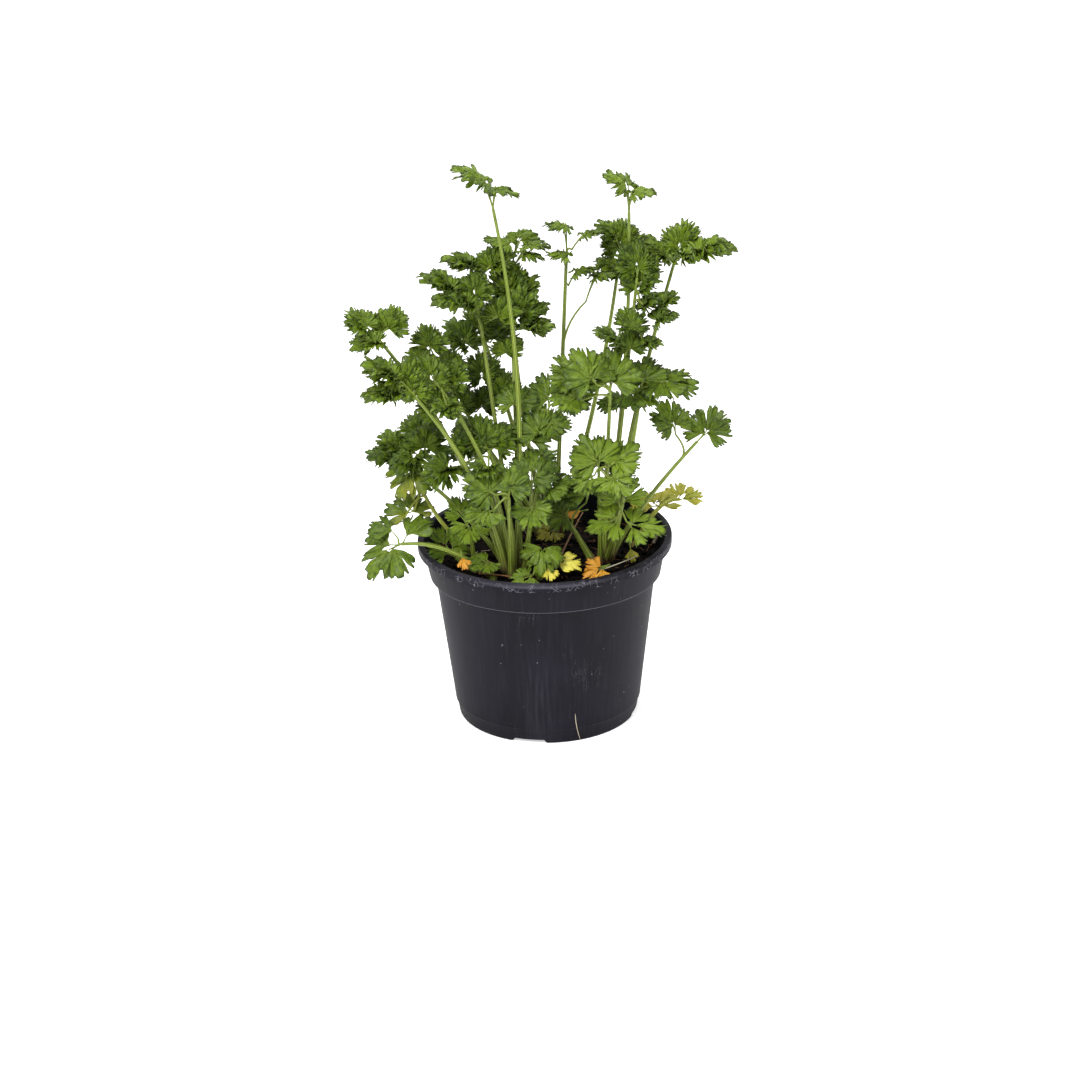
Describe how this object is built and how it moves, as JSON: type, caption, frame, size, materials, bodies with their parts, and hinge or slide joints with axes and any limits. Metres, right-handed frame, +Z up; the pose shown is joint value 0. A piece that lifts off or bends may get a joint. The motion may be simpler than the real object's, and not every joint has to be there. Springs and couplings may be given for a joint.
{
  "type": "potted parsley",
  "caption": "Curly parsley in a round black nursery pot: long stalks rise from root crowns in the soil to ruffled, toothed leaflets that spread wider than the rim.",
  "frame": {"origin": "on the pot's axis, on the surface that the pot stands on", "axes": "+Z up along the pot's axis; -Y is the side that the picture shows as the front; +X to that view's right"},
  "size_m": [0.1917, 0.13, 0.2822],
  "materials": {
    "black_plastic": "satin",
    "potting_soil": "matte",
    "root": "matte",
    "stalk_green": "satin",
    "leaf_green": "satin",
    "leaf_yellow": "matte",
    "leaf_orange": "matte"
  },
  "bodies": {
    "root": {"pot": "black_plastic", "soil": "potting_soil", "root_crown_left": "root", "root_crown_right": "root", "root_crown_back": "root", "leaf_stalk_01": "stalk_green", "leaf_blade_01": "leaf_green", "leaf_stalk_02": "stalk_green", "leaf_blade_02": "leaf_green", "leaf_stalk_03": "stalk_green", "leaf_blade_03": "leaf_green", "leaf_stalk_04": "stalk_green", "leaf_blade_04": "leaf_green", "leaf_stalk_05": "stalk_green", "leaf_blade_05": "leaf_green", "leaf_stalk_06": "stalk_green", "leaf_blade_06": "leaf_green", "leaf_stalk_07": "stalk_green", "leaf_blade_07": "leaf_green", "leaf_stalk_08": "stalk_green", "leaf_blade_08": "leaf_green", "leaf_stalk_09": "stalk_green", "leaf_blade_09": "leaf_green", "leaf_stalk_10": "stalk_green", "leaf_blade_10": "leaf_green", "leaf_stalk_11": "stalk_green", "leaf_blade_11": "leaf_green", "leaf_stalk_12": "stalk_green", "leaf_blade_12": "leaf_green", "leaf_stalk_13": "stalk_green", "leaf_blade_13": "leaf_green", "leaf_stalk_14": "stalk_green", "leaf_blade_14": "leaf_green", "leaf_stalk_15": "stalk_green", "leaf_blade_15": "leaf_green", "leaf_stalk_16": "stalk_green", "leaf_blade_16": "leaf_green", "leaf_stalk_17": "stalk_green", "leaf_blade_17": "leaf_green", "leaf_18": "leaf_green", "leaf_19": "leaf_green", "leaf_20": "leaf_green", "leaf_21": "leaf_green", "leaf_22": "leaf_green", "leaf_23": "leaf_green", "leaf_24": "leaf_green", "leaf_25": "leaf_green", "leaf_26": "leaf_green", "leaf_27": "leaf_green", "leaf_28": "leaf_green", "leaf_29": "leaf_green", "leaf_30": "leaf_green", "leaf_31": "leaf_green", "leaf_32": "leaf_green", "leaf_33": "leaf_green", "leaf_34": "leaf_green", "leaf_35": "leaf_green", "leaf_36": "leaf_green", "shed_leaflet_yellow": "leaf_yellow", "shed_leaflet_orange": "leaf_orange"}
  },
  "joints": []
}
